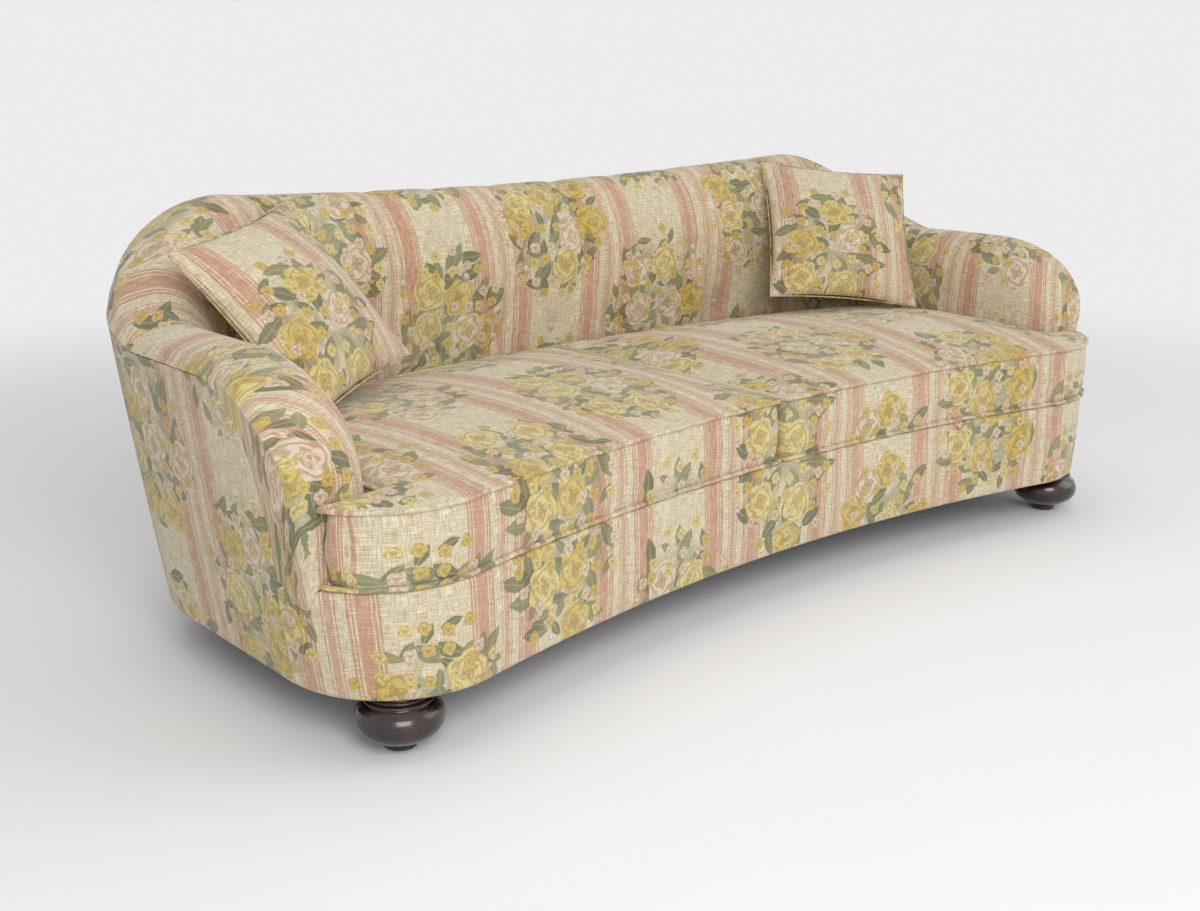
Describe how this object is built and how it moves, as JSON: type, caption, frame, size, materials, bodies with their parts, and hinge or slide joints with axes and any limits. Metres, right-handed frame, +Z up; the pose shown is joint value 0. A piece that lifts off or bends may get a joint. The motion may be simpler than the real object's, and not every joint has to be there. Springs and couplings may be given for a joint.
{
  "type": "sofa",
  "caption": "Curved two-cushion sofa with a buttoned inside back, rolled flared arms, loose seat and scatter cushions, and turned bun feet.",
  "frame": {"origin": "centre of the bounding box's underside, on the floor", "axes": "+Z up, +X along the sofa's length to its left-hand sitter's side, front faces -Y"},
  "size_m": [2.2774, 1.0449, 0.8273],
  "materials": {
    "linen": "striped slub linen, matt",
    "piping_linen": "plain linen on the bias, matt",
    "scatter_linen": "striped slub linen, matt",
    "deck_cloth": "plain calico, matt",
    "dust_cloth": "black bonded cloth, matt",
    "webbing": "jute webbing, coarse",
    "hardwood_frame": "planed beech, unfinished",
    "foot_wood": "dark espresso stain under gloss lacquer",
    "steel": "zinc-plated",
    "glide_plastic": "moulded, matt",
    "zip_tape": "woven tape, matt",
    "zip_metal": "nickel-plated"
  },
  "bodies": {
    "sofa_frame": {"arm_front_post_left": "hardwood_frame", "arm_front_post_right": "hardwood_frame", "arm_pads": "linen", "arm_rail_left": "hardwood_frame", "arm_rail_right": "hardwood_frame", "arm_rear_post_left": "hardwood_frame", "arm_rear_post_right": "hardwood_frame", "back_buttons": "linen", "back_pad": "linen", "back_panel": "linen", "back_post_left": "hardwood_frame", "back_post_right": "hardwood_frame", "back_rail": "hardwood_frame", "back_uprights": "hardwood_frame", "back_webbing": "webbing", "bun_feet": "foot_wood", "corner_blocks": "hardwood_frame", "crest_rail": "hardwood_frame", "dust_cover": "dust_cloth", "end_rail_left": "hardwood_frame", "end_rail_right": "hardwood_frame", "foot_bolts": "steel", "foot_glides": "glide_plastic", "foot_nuts": "steel", "front_border": "linen", "front_corners": "hardwood_frame", "front_rail": "hardwood_frame", "rear_corners": "hardwood_frame", "seat_deck": "deck_cloth", "seat_stretchers": "hardwood_frame", "seat_webbing_across": "webbing", "seat_webbing_along": "webbing", "shoulder_rails": "hardwood_frame", "side_panels": "linen"},
    "seat_left": {"seat_cushion_left": "linen", "seat_piping_left": "piping_linen", "zip_tape_left": "zip_tape"},
    "zip_left": {"zip_slider_left": "zip_metal"},
    "scatter_left": {"scatter_cushion_left": "scatter_linen"},
    "seat_right": {"seat_cushion_right": "linen", "seat_piping_right": "piping_linen", "zip_tape_right": "zip_tape"},
    "zip_right": {"zip_slider_right": "zip_metal"},
    "scatter_right": {"scatter_cushion_right": "scatter_linen"}
  },
  "joints": [
    {"name": "seat_left_lift", "type": "slide", "parent": "sofa_frame", "child": "seat_left", "axis": [0, -0.35, 0.9367], "range_m": [0, 0.35]},
    {"name": "scatter_left_lift", "type": "slide", "parent": "seat_left", "child": "scatter_left", "axis": [0.3, -0.55, 0.7794], "range_m": [0, 0.3]},
    {"name": "zip_left_slide", "type": "hinge", "parent": "seat_left", "child": "zip_left", "pos_m": [0, -4.01578, 0.36], "axis": [0, 0, 1], "range_deg": [0, 8.9]},
    {"name": "seat_right_lift", "type": "slide", "parent": "sofa_frame", "child": "seat_right", "axis": [0, -0.35, 0.9367], "range_m": [0, 0.35]},
    {"name": "scatter_right_lift", "type": "slide", "parent": "seat_right", "child": "scatter_right", "axis": [-0.3, -0.55, 0.7794], "range_m": [0, 0.3]},
    {"name": "zip_right_slide", "type": "hinge", "parent": "seat_right", "child": "zip_right", "pos_m": [0, -4.01578, 0.36], "axis": [0, 0, 1], "range_deg": [-8.9, 0]}
  ]
}
